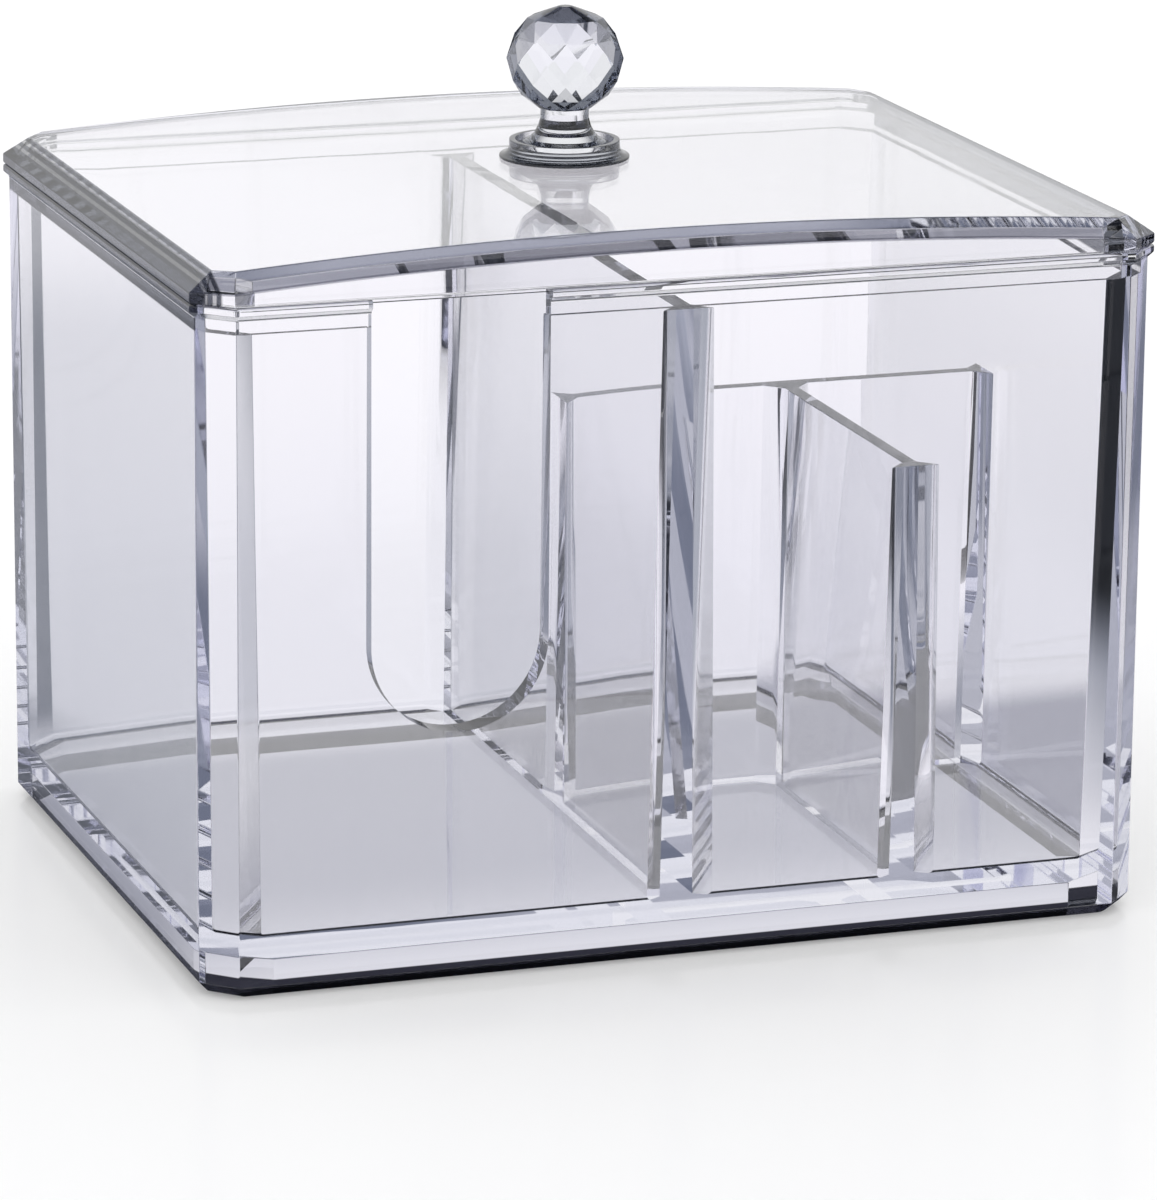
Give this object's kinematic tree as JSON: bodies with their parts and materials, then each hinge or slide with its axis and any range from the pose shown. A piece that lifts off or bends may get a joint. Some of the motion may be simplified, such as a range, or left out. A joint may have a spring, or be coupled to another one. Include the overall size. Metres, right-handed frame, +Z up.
{
  "type": "acrylic storage box with lid",
  "caption": "Clear acrylic box with inner dividers and a round-bottomed notch in its front wall, closed by a lift-off arched lid with a cut-ball knob.",
  "frame": {"origin": "centre of the tray's footprint, on the surface it stands on", "axes": "+X along the length, to the right seen from the notched front; +Y to the back; +Z up"},
  "size_m": [0.1568, 0.1252, 0.1405],
  "materials": {
    "clear_tray": "clear polished acrylic",
    "clear_divider": "clear polished acrylic",
    "clear_lid": "clear polished acrylic",
    "clear_foot": "clear turned acrylic",
    "cut_knob": "clear cut acrylic"
  },
  "bodies": {
    "tray": {"tray": "clear_tray", "long_divider": "clear_divider", "cross_divider": "clear_divider", "short_divider": "clear_divider"},
    "lid": {"lid": "clear_lid", "knob_foot": "clear_foot", "knob": "cut_knob"}
  },
  "joints": [
    {"name": "lid_lift", "type": "slide", "parent": "tray", "child": "lid", "axis": [0, 0, 1], "range_m": [0, 0.06]}
  ]
}
